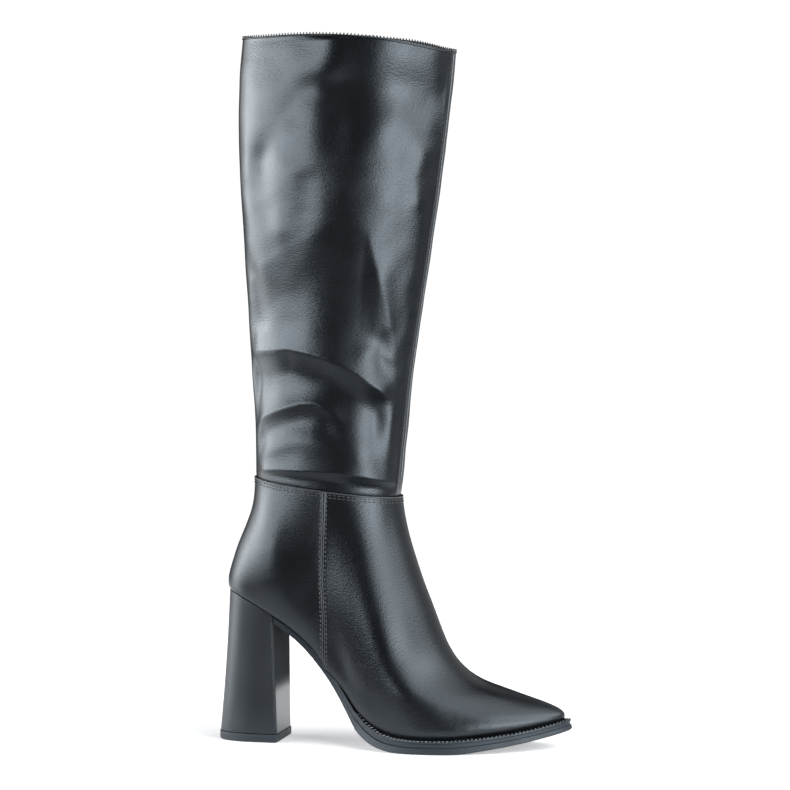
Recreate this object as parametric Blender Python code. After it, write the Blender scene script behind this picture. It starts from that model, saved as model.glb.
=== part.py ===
"""A right knee-high boot with a pointed toe and a covered block heel, standing on heel and forefoot.

Metres, +Z up, toe toward +X, outer side of the leg toward -Y. The foot part, the leg and the sole are worked
out from the foot's length, ball width, heel height and ankle and calf sizes. Tables hold shares of those sizes,
a row for each section. The whole boot is set down with the middle of its box on the origin.
"""

import math

import bmesh
import bpy
import numpy as np

MM = 0.001

# The foot, measured at the feather edge, where the upper meets the sole.
FOOT_LENGTH = 229.5 * MM
BALL_WIDTH = 77.2 * MM
HEEL_HEIGHT = 103.2 * MM
FOREFOOT_HEIGHT = 9.3 * MM
TOE_SPRING = 11.0 * MM
TOE_SWING = 6.0 * MM
SWING_FROM_HEEL = 137.7 * MM
HEEL_RADIUS = 23.5 * MM
TOE_RADIUS = 6.3 * MM

# The ankle seam, where the foot part laps over the leg.
ANKLE_LENGTH = 99.9 * MM
ANKLE_WIDTH = 68.0 * MM
ANKLE_FROM_HEEL = 18.4 * MM
ANKLE_BACK_HEIGHT = 176.4 * MM
ANKLE_FRONT_HEIGHT = 166.0 * MM

# The leg and its collar.
CALF_WIDTH = 90.0 * MM
CALF_BACK = 11.6 * MM
SHIN_FORWARD = 37.3 * MM
COLLAR_BACK_HEIGHT = 474.8 * MM
COLLAR_FRONT_HEIGHT = 465.5 * MM
COLLAR_ARCH = 6.6 * MM

# Walls and laps.
UPPER_WALL = 1.8 * MM
SHAFT_WALL = 1.6 * MM
LAP_STEP = 0.9 * MM
FEATHER_ROLL = 1.2 * MM
HEM_DEPTH = 7.0 * MM
HEM_RUN = 2.5 * MM
HEM_GAP = 0.45 * MM
GAP = 0.3 * MM

# Raised seams.
SIDE_SEAM_FROM_HEEL = 74.4 * MM
SIDE_SEAM_WIDTH = 4.4 * MM
SIDE_SEAM_HEIGHT = 0.6 * MM
FRONT_SEAM_OFFSET = 8.5 * MM
FRONT_SEAM_WIDTH = 3.0 * MM
FRONT_SEAM_HEIGHT = 0.7 * MM

# The sole unit.
WELT_WIDTH = 4.6 * MM
WELT_THICKNESS = 1.6 * MM
WELT_FROM_HEEL = 94.0 * MM
WELT_RUN_IN = 3.0 * MM
WELT_LAP = 2.1 * MM
WELT_END_THICKNESS = 0.64 * MM
WELT_TAPER = 16.0 * MM
WELT_BEVEL = 0.4 * MM
TOE_LIFT = 13.1 * MM
SOLE_BEVEL = 0.8 * MM
SOLE_STEP = 0.4 * MM
SOLE_FLARE = 1.0 * MM
WAIST_GROOVE = 0.5 * MM
WAIST_LAP = 0.8 * MM
INSOLE_THICKNESS = 2.5 * MM
INSOLE_BEVEL = 0.5 * MM

# The heel.
BREAST_FROM_HEEL = 35.1 * MM
HEEL_BASE_LENGTH = 43.6 * MM
HEEL_BASE_WIDTH = 39.0 * MM
HEEL_BASE_SETBACK = 6.9 * MM
HEEL_HOLLOW = 0.7 * MM
HEEL_ROUND_SHARE = 0.62
HEEL_ROUND_POWER = 2.3
HEEL_EDGE_BEVEL = 1.2 * MM
LIFT_THICKNESS = 5.6 * MM
LIFT_MARGIN = 0.5 * MM
LIFT_BEVEL = 0.5 * MM
HEEL_SECTIONS = (0.0, 0.25, 0.5, 0.75, 1.0)
HEEL_SHARP = 35

# Where the side of the sole steps in, as shares of its height.
SOLE_STEP_SHARES = (0.58, 0.66)

# How many faces go round and up the curved pieces.
REAR_COLUMNS = 10
FRONT_COLUMNS = 23
SHAFT_COLUMNS = 26
HEEL_COLUMNS = 14


def table(names, *rows):
    """A table with named columns. The other columns follow its first one."""
    return dict(zip(names.split(), np.array(rows, float).T))


# Half widths of the feather edge, as shares of the ball width, against the share of the foot's length.
FOOT_PLAN = table(
    "along lateral medial",
    (0.050, 0.263, 0.263),
    (0.085, 0.294, 0.294),
    (0.151, 0.300, 0.292),
    (0.212, 0.286, 0.256),
    (0.282, 0.275, 0.224),
    (0.325, 0.281, 0.220),
    (0.369, 0.311, 0.241),
    (0.412, 0.367, 0.285),
    (0.456, 0.425, 0.337),
    (0.500, 0.466, 0.382),
    (0.565, 0.508, 0.440),
    (0.630, 0.521, 0.479),
    (0.695, 0.500, 0.466),
    (0.761, 0.440, 0.412),
    (0.826, 0.363, 0.329),
    (0.891, 0.268, 0.233),
    (0.948, 0.171, 0.146),
    (0.979, 0.106, 0.093),
)

# Height of the feather edge: rise is a share of the climb to the heel, spring of the toe spring.
FOOT_LINE = table(
    "along rise spring",
    (0.000, 1.000, 0.000),
    (0.033, 0.977, 0.000),
    (0.083, 0.923, 0.000),
    (0.156, 0.822, 0.000),
    (0.210, 0.737, 0.000),
    (0.255, 0.647, 0.000),
    (0.308, 0.506, 0.000),
    (0.345, 0.388, 0.000),
    (0.390, 0.224, 0.000),
    (0.416, 0.149, 0.000),
    (0.443, 0.093, 0.000),
    (0.471, 0.053, 0.000),
    (0.502, 0.025, 0.000),
    (0.542, 0.007, 0.000),
    (0.595, 0.000, 0.000),
    (0.670, 0.000, 0.000),
    (0.735, 0.000, 0.055),
    (0.791, 0.000, 0.155),
    (0.842, 0.000, 0.270),
    (0.922, 0.000, 0.536),
    (1.000, 0.000, 0.900),
    (1.044, 0.000, 1.090),
)

# Height of the sole's underside, in the same shares. The forefoot's rows of zero are its flat spot.
UNDER_LINE = table(
    "along rise lift",
    (0.150, 0.875, 0.000),
    (0.209, 0.783, 0.000),
    (0.255, 0.678, 0.000),
    (0.283, 0.600, 0.000),
    (0.319, 0.480, 0.000),
    (0.358, 0.330, 0.000),
    (0.393, 0.184, 0.000),
    (0.426, 0.086, 0.000),
    (0.473, 0.028, 0.000),
    (0.530, 0.000, 0.000),
    (0.717, 0.000, 0.000),
    (0.791, 0.000, 0.165),
    (0.848, 0.000, 0.315),
    (0.909, 0.000, 0.505),
    (0.966, 0.000, 0.725),
    (1.027, 0.000, 0.985),
    (1.044, 0.000, 1.060),
)

# How far the sole's edge stands out past the feather edge, as a share of the welt's width.
SOLE_EDGE = table(
    "along margin",
    (0.150, 0.04),
    (0.325, 0.10),
    (0.390, 0.16),
    (0.434, 0.42),
    (0.478, 0.78),
    (0.530, 0.97),
    (0.570, 1.00),
    (1.000, 1.00),
)

# The counter's back line: forward is a share of the foot's length, climb of the way up to the ankle seam.
BACK_LINE = table(
    "level forward climb",
    (0.000, 0.0000, 0.000),
    (0.012, -0.0028, 0.015),
    (0.040, -0.0052, 0.045),
    (0.100, -0.0046, 0.105),
    (0.240, 0.0070, 0.245),
    (0.430, 0.0270, 0.435),
    (0.620, 0.0552, 0.625),
    (0.720, 0.0678, 0.722),
    (0.820, 0.0742, 0.820),
    (0.920, 0.0758, 0.920),
    (1.000, 0.0763, 1.000),
)

# The ridge of the vamp from the toe to the ankle seam, in the foot's length and the climb to that seam.
RIDGE_LINE = table(
    "level forward climb",
    (0.000, 1.0000, 0.000),
    (0.012, 1.0040, 0.016),
    (0.026, 1.0010, 0.034),
    (0.044, 0.9885, 0.050),
    (0.064, 0.9733, 0.060),
    (0.086, 0.9554, 0.071),
    (0.142, 0.9088, 0.095),
    (0.264, 0.8067, 0.144),
    (0.327, 0.7545, 0.171),
    (0.366, 0.7248, 0.197),
    (0.397, 0.7048, 0.225),
    (0.424, 0.6878, 0.253),
    (0.473, 0.6620, 0.309),
    (0.539, 0.6400, 0.393),
    (0.625, 0.6143, 0.504),
    (0.700, 0.5890, 0.599),
    (0.770, 0.5690, 0.692),
    (0.843, 0.5500, 0.787),
    (0.916, 0.5325, 0.883),
    (0.966, 0.5243, 0.955),
    (1.000, 0.5220, 1.000),
)

# Swelling of the foot part between feather edge and ankle seam, as shares of the ball width: low over the
# sole, high over the instep.
FOOT_SWELL = table(
    "along low high",
    (0.00, 0.020, 0.025),
    (0.15, 0.030, 0.055),
    (0.35, 0.015, 0.010),
    (0.50, 0.008, -0.040),
    (0.65, 0.020, 0.010),
    (0.80, 0.045, 0.115),
    (0.92, 0.035, 0.160),
    (1.00, 0.020, 0.150),
)

# Heights of the foot part's rings, closer together over the toe's wall.
FOOT_LEVELS = (0.0, 0.012, 0.03, 0.06, 0.10, 0.15, 0.205, 0.26, 0.32, 0.38, 0.44, 0.50, 0.57, 0.64, 0.71,
               0.79, 0.87, 0.94, 1.0)

# The leg's sections: back and front are shares of the calf's and the shin's reach past the ankle.
LEG = table(
    "height back front width",
    (0.00, 0.00, 0.000, 0.00),
    (0.10, 0.00, 0.081, 0.08),
    (0.25, 0.24, 0.200, 0.28),
    (0.45, 0.54, 0.432, 0.55),
    (0.65, 0.87, 0.678, 0.80),
    (0.80, 1.00, 0.832, 0.94),
    (0.92, 0.94, 0.951, 1.00),
    (1.00, 0.73, 1.000, 1.00),
)

LEG_LEVELS = (0.03, 0.10, 0.17, 0.25, 0.33, 0.41, 0.49, 0.57, 0.65, 0.73, 0.80, 0.87, 0.94, 1.0)


def follow(rows, column, at):
    """Value of a column, smooth, without overshoot between rows, and straight past the ends."""
    keys = next(iter(rows.values()))
    values = rows[column]
    steps = np.diff(keys)
    slopes = np.diff(values) / steps
    tangents = [slopes[0]]
    for before, after in zip(slopes, slopes[1:]):
        tangents.append(0.0 if before * after <= 0 else 2 * before * after / (before + after))
    tangents.append(slopes[-1])
    if at <= keys[0]:
        return values[0] + (at - keys[0]) * tangents[0]
    if at >= keys[-1]:
        return values[-1] + (at - keys[-1]) * tangents[-1]
    i = int(np.searchsorted(keys, at)) - 1
    t = (at - keys[i]) / steps[i]
    lift = values[i] * (1 + 2 * t) * (1 - t) ** 2 + values[i + 1] * t * t * (3 - 2 * t)
    return lift + steps[i] * t * (1 - t) * (tangents[i] * (1 - t) - tangents[i + 1] * t)


def mix(a, b, share):
    return a + (b - a) * share


def ease(t):
    """Smooth step from 0 to 1, held at both ends."""
    t = min(max(t, 0.0), 1.0)
    return t * t * (3 - 2 * t)


def share_at(angle):
    """Share of an oval's length at an angle that runs from 0 at its back to pi at its front."""
    return (1 - math.cos(angle)) / 2


def angle_at(share):
    return math.acos(1 - 2 * share)


def end_fullness(radius):
    """Half width over the sine of the angle, at an end of the feather edge rounded to this radius."""
    return math.sqrt(radius * FOOT_LENGTH / 2)


def plan_fullness(side):
    """The feather edge's half widths over the sine of the angle, as a table with its two round ends."""
    rows = [(0.0, end_fullness(HEEL_RADIUS))]
    for along, half in zip(FOOT_PLAN["along"], FOOT_PLAN[side]):
        rows.append((along, half * BALL_WIDTH / math.sin(angle_at(along))))
    rows.append((1.0, end_fullness(TOE_RADIUS)))
    return table("along fullness", *rows)


FULLNESS = {side: plan_fullness(side) for side in ("lateral", "medial")}
SIGN = {"lateral": -1, "medial": 1}


def middle_line(x):
    """The foot's middle line, which swings inward from the ball to the toe."""
    return TOE_SWING * max(0.0, (x - SWING_FROM_HEEL) / (FOOT_LENGTH - SWING_FROM_HEEL)) ** 1.5


def feather_height(x):
    along = x / FOOT_LENGTH
    climb = (HEEL_HEIGHT - FOREFOOT_HEIGHT) * follow(FOOT_LINE, "rise", along)
    return FOREFOOT_HEIGHT + climb + TOE_SPRING * follow(FOOT_LINE, "spring", along)


def seat_height(x):
    """Just under the feather edge, clear of the foot part by the gap measured square to the slope."""
    run = 1 * MM
    slope = (feather_height(x + run) - feather_height(x - run)) / (2 * run)
    return feather_height(x) - GAP * math.hypot(1.0, slope)


def under_height(x):
    along = x / FOOT_LENGTH
    climb = (HEEL_HEIGHT - FOREFOOT_HEIGHT) * follow(UNDER_LINE, "rise", along)
    return max(0.0, climb + TOE_LIFT * follow(UNDER_LINE, "lift", along))


def feather_edge(angle, side):
    """Point of the feather edge in plan. Past pi the curve runs on round the toe to the other side."""
    share = share_at(angle)
    x = share * FOOT_LENGTH
    half = math.sin(angle) * follow(FULLNESS[side], "fullness", share)
    return np.array((x, middle_line(x) + SIGN[side] * half))


def feather_normal(angle, side):
    """Outward normal of the feather edge in plan."""
    small = 0.02
    dx, dy = feather_edge(angle + small, side) - feather_edge(angle - small, side)
    normal = np.array((dy, -dx)) * -SIGN[side]
    return normal / np.linalg.norm(normal)


def sole_margin(x):
    return WELT_WIDTH * follow(SOLE_EDGE, "margin", min(x / FOOT_LENGTH, 1.0))


def ankle_height(share):
    return mix(ANKLE_BACK_HEIGHT, ANKLE_FRONT_HEIGHT, share)


def back_line(level):
    """Side view of the counter's back line: x and z at a level between feather edge and ankle seam."""
    x = FOOT_LENGTH * follow(BACK_LINE, "forward", level)
    top = ANKLE_FROM_HEEL - LAP_STEP
    x += (top - FOOT_LENGTH * BACK_LINE["forward"][-1]) * ease(level)
    return x, mix(feather_height(0), ANKLE_BACK_HEIGHT, follow(BACK_LINE, "climb", level))


def ridge_line(level):
    """Side view of the vamp's ridge: x and z at a level between toe and ankle seam."""
    x = FOOT_LENGTH * follow(RIDGE_LINE, "forward", level)
    top = ANKLE_FROM_HEEL + ANKLE_LENGTH + LAP_STEP
    x += (top - FOOT_LENGTH * RIDGE_LINE["forward"][-1]) * ease(level)
    return x, mix(feather_height(FOOT_LENGTH), ANKLE_FRONT_HEIGHT, follow(RIDGE_LINE, "climb", level))


def column_angles(column):
    """Angles at the feather edge and at the ankle seam. Column 0 is the back, 1 the side seam, 2 the ridge."""
    seam_low = angle_at(SIDE_SEAM_FROM_HEEL / FOOT_LENGTH)
    top_back = ANKLE_FROM_HEEL - LAP_STEP
    top_length = ANKLE_LENGTH + 2 * LAP_STEP
    seam_high = angle_at((SIDE_SEAM_FROM_HEEL - top_back) / top_length)
    if column <= 1:
        return seam_low * column, seam_high * column
    return mix(seam_low, math.pi, column - 1), mix(seam_high, math.pi, column - 1)


def upper_turn(level):
    """How far a ring has turned from the feather edge's oval to the ankle's, settled below the seam."""
    return 1 - (1 - level) ** 2


def foot_x(column, level):
    low, high = column_angles(column)
    share = mix(share_at(low), share_at(high), upper_turn(level))
    return mix(back_line(level)[0], ridge_line(level)[0], share)


def foot_point(column, level, side):
    """Point of the foot part's outer surface, without its seams."""
    low, high = column_angles(column)
    turn = upper_turn(level)
    share = mix(share_at(low), share_at(high), turn)
    seam_pull = SIDE_SEAM_FROM_HEEL - foot_x(1, level)
    x = foot_x(column, level) + seam_pull * math.sin(math.pi / 2 * min(column, 2 - column)) ** 2
    z = mix(back_line(level)[1], ridge_line(level)[1], share)
    low_x = share_at(low) * FOOT_LENGTH
    low_chord = mix(feather_height(0), feather_height(FOOT_LENGTH), share_at(low))
    z += (1 - level) ** 1.2 * (feather_height(low_x) - low_chord)
    roll = 1 - math.exp(-level / 0.02)
    low_swell = follow(FOOT_SWELL, "low", share) * math.sin(math.pi * level ** 0.37)
    high_swell = follow(FOOT_SWELL, "high", share) * math.sin(math.pi * level) ** 1.5
    swell = (low_swell + high_swell) * BALL_WIDTH + FEATHER_ROLL * roll * (1 - level)
    low_half = follow(FULLNESS[side], "fullness", share_at(low))
    high_half = ANKLE_WIDTH / 2 + LAP_STEP
    fullness = mix(low_half, high_half, ease(level ** 0.8)) + swell
    half = mix(math.sin(low), math.sin(high), turn) * fullness
    return np.array((x, middle_line(low_x) * (1 - level) ** 2 + SIGN[side] * half, z))


def side_seam_columns(level):
    """Columns either side of the side seam, at fixed distances from it, and how high the wall rises there."""
    near = 0.02
    reach = (foot_x(1 + near, level) - foot_x(1 - near, level)) / (2 * near)
    half = SIDE_SEAM_WIDTH / 2 / reach
    return [(1 - half, 0.0), (1 - half / 2, 1.0), (1.0, 0.1), (1 + half / 2, 1.0), (1 + half, 0.0)]


def foot_columns(level):
    """Columns from back to ridge with their seam heights, the same number at each level."""
    rear = [(k / REAR_COLUMNS, 0.0) for k in range(REAR_COLUMNS)]
    front = [(1 + k / FRONT_COLUMNS, 0.0) for k in range(1, FRONT_COLUMNS + 1)]
    return rear + side_seam_columns(level) + front


def round_loop(point_of, columns):
    """Points once round: up the outer side from the back to the front, then back along the inner side."""
    outer = [point_of(column, "lateral") for column in columns]
    inner = [point_of(column, "medial") for column in columns[-2:0:-1]]
    return outer + inner


def grid_normals(grid):
    """Outward normals of a grid of rings, bottom to top, that each run anticlockwise seen from above."""
    around = np.roll(grid, -1, axis=1) - np.roll(grid, 1, axis=1)
    up = np.gradient(grid, axis=0)
    normals = np.cross(around, up)
    return normals / np.linalg.norm(normals, axis=2, keepdims=True)


def make_mesh(name, rings, faces, sharp=40):
    """An object from rings of points and faces that index them, with its faces turned outward."""
    mesh = bpy.data.meshes.new(name)
    mesh.from_pydata([tuple(p) for ring in rings for p in ring], [], faces)
    shape = bmesh.new()
    shape.from_mesh(mesh)
    bmesh.ops.recalc_face_normals(shape, faces=shape.faces)
    shape.to_mesh(mesh)
    shape.free()
    mesh.shade_smooth()
    mesh.set_sharp_from_angle(angle=math.radians(sharp))
    piece = bpy.data.objects.new(name, mesh)
    bpy.context.collection.objects.link(piece)
    return piece


def band_faces(ring_count, size, closed_rings=True, closed_band=False):
    """Quads between consecutive rings of a given size."""
    faces = []
    for r in range(ring_count if closed_band else ring_count - 1):
        for k in range(size if closed_rings else size - 1):
            a, b = r * size, (r + 1) % ring_count * size
            after = (k + 1) % size
            faces.append((a + k, a + after, b + after, b + k))
    return faces


def cap_faces(first, size):
    """Faces across a closed ring, joining each point of its outer side to the one facing it."""
    half = size // 2
    faces = [(first, first + 1, first + size - 1)]
    for k in range(1, half - 1):
        faces.append((first + k, first + k + 1, first + size - k - 1, first + size - k))
    faces.append((first + half - 1, first + half, first + half + 1))
    return faces


def open_cap_faces(first, size):
    """The same across a ring that stands open between its last point and its first."""
    half = size // 2
    faces = []
    for k in range(half - 1):
        faces.append((first + k, first + k + 1, first + size - 2 - k, first + size - 1 - k))
    faces.append((first + half - 1, first + half, first + half + 1))
    return faces


def make_upper():
    """The foot part: vamp and counter, a shell open at the ankle and underneath, with its two side seams."""
    heights = []
    base = []
    for level in FOOT_LEVELS:
        columns = foot_columns(level)
        ring = round_loop(lambda c, side: foot_point(c[0], level, side), columns)
        base.append(ring)
        heights.append(round_loop(lambda c, side: c[1], columns))
    base = np.array(base)
    normals = grid_normals(base)
    flat = normals.copy()
    flat[..., 2] = 0
    flat /= np.linalg.norm(flat, axis=2, keepdims=True)
    normals[0] = flat[0]
    normals[-1] = flat[-1]
    raised = np.array(heights)[..., None] * SIDE_SEAM_HEIGHT
    outer = base + normals * raised
    inner = base - normals * UPPER_WALL
    inner[0, :, 2] = [feather_height(x) for x in inner[0, :, 0]]
    rings = list(outer) + list(inner[::-1])
    return make_mesh("upper", rings, band_faces(len(rings), len(rings[0]), closed_band=True))


def leg_section(height):
    """Back, front and half width of the leg at a share of the way from ankle seam to collar."""
    back = ANKLE_FROM_HEEL - CALF_BACK * follow(LEG, "back", height)
    front = ANKLE_FROM_HEEL + ANKLE_LENGTH + SHIN_FORWARD * follow(LEG, "front", height)
    return back, front, mix(ANKLE_WIDTH, CALF_WIDTH, follow(LEG, "width", height)) / 2


def collar_height(share):
    turn = share ** 1.25
    return mix(COLLAR_BACK_HEIGHT, COLLAR_FRONT_HEIGHT, share) + COLLAR_ARCH * 4 * turn * (1 - turn)


def leg_ring(height, columns, inset=0.0, drop=0.0):
    """One section of the leg, set in from its outer surface and down from its own height."""
    back, front, half = leg_section(max(height, 0.0))

    def point(column, side):
        share = share_at(column[0])
        x = mix(back + inset, front - inset, share)
        z = mix(ankle_height(share), collar_height(share), height) - drop
        return np.array((x, SIGN[side] * (half - inset) * math.sin(column[0]), z))

    return round_loop(point, columns)


def leg_columns(height):
    """Angles from back to front, with the front seam's own columns at fixed distances."""
    half = leg_section(max(height, 0.0))[2]
    seam = math.pi - math.asin(FRONT_SEAM_OFFSET / half)
    reach = FRONT_SEAM_WIDTH / 2 / half
    plain = [(math.pi * k / SHAFT_COLUMNS, 0.0) for k in range(SHAFT_COLUMNS - 1)]
    plain = [c for c in plain if c[0] < seam - 1.6 * reach]
    raised = [(seam - reach, 0.0), (seam - reach / 3, 1.0), (seam + reach / 3, 1.0), (seam + reach, 0.0)]
    return plain + raised + [(math.pi, 0.0)]


def make_shaft():
    """The leg: a tube with its front seam in the wall. Its hem steps in and drops behind the foot part's edge."""
    count = min(len(leg_columns(level)) for level in LEG_LEVELS)
    hem_inset = UPPER_WALL + HEM_GAP - LAP_STEP
    sections = [
        (0.0, hem_inset, HEM_DEPTH, 0.0),
        (0.0, hem_inset, -GAP, 0.0),
        (0.0, 0.0, -HEM_RUN, 0.3),
    ]
    sections += [(level, 0.0, 0.0, 1.0) for level in LEG_LEVELS]
    outer = []
    inner = []
    for level, inset, drop, seam in sections:
        columns = leg_columns(level)
        columns = columns[:count - 5] + columns[-5:]
        outside = np.array(leg_ring(level, columns, inset, drop))
        inner.append(np.array(leg_ring(level, columns, inset + SHAFT_WALL, drop)))
        lateral_only = [c[1] * seam for c in columns] + [0.0] * (len(columns) - 2)
        middle = np.array((outside[:, 0].mean(), 0.0, 0.0))
        away = outside - middle
        away[:, 2] = 0
        away /= np.linalg.norm(away, axis=1, keepdims=True)
        outer.append(outside + away * np.array(lateral_only)[:, None] * FRONT_SEAM_HEIGHT)
    rings = outer + inner[::-1]
    return make_mesh("shaft", rings, band_faces(len(rings), len(rings[0]), closed_band=True))


def feather_angles():
    """The foot part's own angles at the feather edge, which the insole and the sole share."""
    rear = [column_angles(k / REAR_COLUMNS)[0] for k in range(REAR_COLUMNS + 1)]
    front = [column_angles(1 + k / FRONT_COLUMNS)[0] for k in range(1, FRONT_COLUMNS + 1)]
    return rear + front


def sole_run(*places):
    """Angles and sides of the feather edge from the first place round the toe and back, with the others on it."""
    fixed = [angle_at(place / FOOT_LENGTH) for place in places]
    shared = [a for a in feather_angles() if a > fixed[0] and min(abs(a - f) for f in fixed) > 0.03]
    angles = sorted(fixed + shared)
    return [(a, "lateral") for a in angles] + [(a, "medial") for a in angles[-2::-1]]


def edge_ring(run, out, height):
    """Ring of points set out from the feather edge by out(x), at height(x)."""
    ring = []
    for angle, side in run:
        spot = feather_edge(angle, side)
        spot = spot + feather_normal(angle, side) * out(spot[0])
        ring.append(np.array((spot[0], spot[1], height(spot[0]))))
    return ring


def welt_part(x):
    """1 where the welt is, 0 behind its ends."""
    return ease((x - WELT_FROM_HEEL + WELT_RUN_IN) / WELT_RUN_IN + 0.5)


def welt_thickness(x):
    return mix(WELT_END_THICKNESS, WELT_THICKNESS, ease((x - WELT_FROM_HEEL) / WELT_TAPER))


def sole_top(x):
    """Top of the sole's edge: under the welt in front, a shallow groove below the upper at the waist."""
    return seat_height(x) - mix(WAIST_GROOVE, welt_thickness(x) + GAP, welt_part(x))


def make_outsole():
    """Waist and forefoot in one, from the heel breast to the toe, with a stepped side and a rebate for the welt."""
    run = sole_run(BREAST_FROM_HEEL + GAP, WELT_FROM_HEEL - WELT_RUN_IN, WELT_FROM_HEEL)

    def side_height(share):
        return lambda x: mix(under_height(x), sole_top(x), share)

    def step(x):
        return SOLE_STEP * welt_part(x)

    def rebate(x):
        return -mix(WAIST_LAP, WELT_LAP + GAP, welt_part(x))

    def flare(x):
        return sole_margin(x) + SOLE_FLARE * welt_part(x)

    below, above = SOLE_STEP_SHARES
    rings = [
        edge_ring(run, lambda x: flare(x) - SOLE_BEVEL, under_height),
        edge_ring(run, flare, lambda x: under_height(x) + SOLE_BEVEL),
        edge_ring(run, lambda x: mix(flare(x), sole_margin(x), below), side_height(below)),
        edge_ring(run, lambda x: sole_margin(x) - step(x), side_height(above)),
        edge_ring(run, lambda x: sole_margin(x) - step(x), sole_top),
        edge_ring(run, rebate, sole_top),
        edge_ring(run, rebate, seat_height),
    ]
    return slab("outsole", rings)


def slab(name, rings, sharp=40):
    """A solid between rings that each run round one end, closed by a straight face between their two sides."""
    size = len(rings[0])
    faces = band_faces(len(rings), size, closed_rings=False)
    for r in range(len(rings) - 1):
        faces.append((r * size, (r + 1) * size, (r + 2) * size - 1, (r + 1) * size - 1))
    faces += open_cap_faces(0, size)
    faces += open_cap_faces((len(rings) - 1) * size, size)
    return make_mesh(name, rings, faces, sharp)


def make_welt():
    """The stitched strip on the sole's edge, round the forefoot from waist to waist."""
    run = sole_run(WELT_FROM_HEEL)

    def bevel(x):
        return WELT_BEVEL * welt_thickness(x) / WELT_THICKNESS

    corners = [
        edge_ring(run, lambda x: -WELT_LAP, seat_height),
        edge_ring(run, lambda x: sole_margin(x) - bevel(x), seat_height),
        edge_ring(run, sole_margin, lambda x: seat_height(x) - bevel(x)),
        edge_ring(run, sole_margin, lambda x: seat_height(x) - welt_thickness(x)),
        edge_ring(run, lambda x: -WELT_LAP, lambda x: seat_height(x) - welt_thickness(x)),
    ]
    sections = [list(section) for section in zip(*corners)]
    size = len(corners)
    faces = band_faces(len(sections), size)
    faces.append(tuple(range(size)))
    faces.append(tuple(range((len(sections) - 1) * size, len(sections) * size)))
    return make_mesh("welt", sections, faces)


def make_insole():
    """Board and sock inside the upper's bottom edge."""
    angles = feather_angles()
    run = [(a, "lateral") for a in angles] + [(a, "medial") for a in angles[-2:0:-1]]
    inset = UPPER_WALL + GAP
    rings = [
        edge_ring(run, lambda x: -inset, feather_height),
        edge_ring(run, lambda x: -inset, lambda x: feather_height(x) + INSOLE_THICKNESS - INSOLE_BEVEL),
        edge_ring(run, lambda x: -inset - INSOLE_BEVEL, lambda x: feather_height(x) + INSOLE_THICKNESS),
    ]
    size = len(rings[0])
    faces = band_faces(len(rings), size) + cap_faces(0, size) + cap_faces((len(rings) - 1) * size, size)
    return make_mesh("insole", rings, faces)


def heel_outline(share):
    """Half width of the heel's base, as a share of its most, from its round back to its straight front."""
    round_part = max(0.0, 1 - share / HEEL_ROUND_SHARE)
    return (1 - round_part ** HEEL_ROUND_POWER) ** (1 / HEEL_ROUND_POWER)


def seat_point(spin, side):
    """Point of the heel's top. Spin is 0 at the back, 1 where the breast's bevel starts, 2 where it ends."""
    last = angle_at((BREAST_FROM_HEEL - HEEL_EDGE_BEVEL) / FOOT_LENGTH)
    x, y = feather_edge(last * min(spin, 1.0), side)
    if spin > 1:
        x = BREAST_FROM_HEEL
        y -= SIGN[side] * HEEL_EDGE_BEVEL
    return np.array((x, y, seat_height(x)))


def base_point(spin, side, grow, height):
    """Point of the heel's base outline, grown by a margin for the top lift."""
    back = -HEEL_BASE_SETBACK - grow
    front = HEEL_BASE_LENGTH - HEEL_BASE_SETBACK + grow
    x = mix(back, front - HEEL_EDGE_BEVEL, 1 - math.cos(math.pi / 2 * min(spin, 1.0)))
    half = (HEEL_BASE_WIDTH / 2 + grow) * heel_outline((x - back) / (front - back))
    if spin > 1:
        x = front
        half -= HEEL_EDGE_BEVEL
    return np.array((x, SIGN[side] * half, height))


def heel_ring(point):
    """Ring from the breast round the back to the breast again."""
    spins = [2.0] + [k / HEEL_COLUMNS for k in range(HEEL_COLUMNS, -1, -1)]
    return [point(s, "lateral") for s in spins] + [point(s, "medial") for s in spins[-2::-1]]


def make_heel():
    """Covered block heel: its top follows the seat, its back is round and slightly hollow, its breast flat."""
    base_height = LIFT_THICKNESS + GAP

    def section(down):
        def point(spin, side):
            inward = np.array((math.cos(math.pi / 2 * spin), -SIGN[side] * math.sin(math.pi / 2 * spin), 0.0))
            hollow = HEEL_HOLLOW * 4 * down * (1 - down) if spin < 1 else 0.0
            straight = mix(seat_point(spin, side), base_point(spin, side, 0, base_height), down)
            return straight + inward * hollow
        return heel_ring(point)

    return slab("heel", [section(down) for down in HEEL_SECTIONS], HEEL_SHARP)


def make_top_lift():
    """Rubber piece under the heel, flat on the floor."""

    def section(grow, height):
        return heel_ring(lambda spin, side: base_point(spin, side, grow, height))

    edge = LIFT_MARGIN
    rings = [section(edge, LIFT_THICKNESS), section(edge, LIFT_BEVEL), section(edge - LIFT_BEVEL, 0.0)]
    return slab("top_lift", rings, HEEL_SHARP)


def finish(piece, colour, roughness, coat=0.0):
    """Give a piece its own material."""
    material = bpy.data.materials.new(piece.name + "_material")
    material.use_nodes = True
    shader = material.node_tree.nodes["Principled BSDF"]
    shader.inputs["Base Color"].default_value = (*colour, 1.0)
    shader.inputs["Roughness"].default_value = roughness
    shader.inputs["Metallic"].default_value = 0.0
    shader.inputs["Coat Weight"].default_value = coat
    piece.data.materials.append(material)


def set_down(pieces):
    """Hang the pieces on one empty and move it so that the middle of the boot's footprint box is the origin."""
    corners = np.array([v.co for piece in pieces for v in piece.data.vertices])
    middle = (corners.min(axis=0) + corners.max(axis=0)) / 2
    boot = bpy.data.objects.new("boot", None)
    bpy.context.collection.objects.link(boot)
    boot.location = (-middle[0], -middle[1], -corners[:, 2].min())
    for piece in pieces:
        piece.parent = boot


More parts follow.
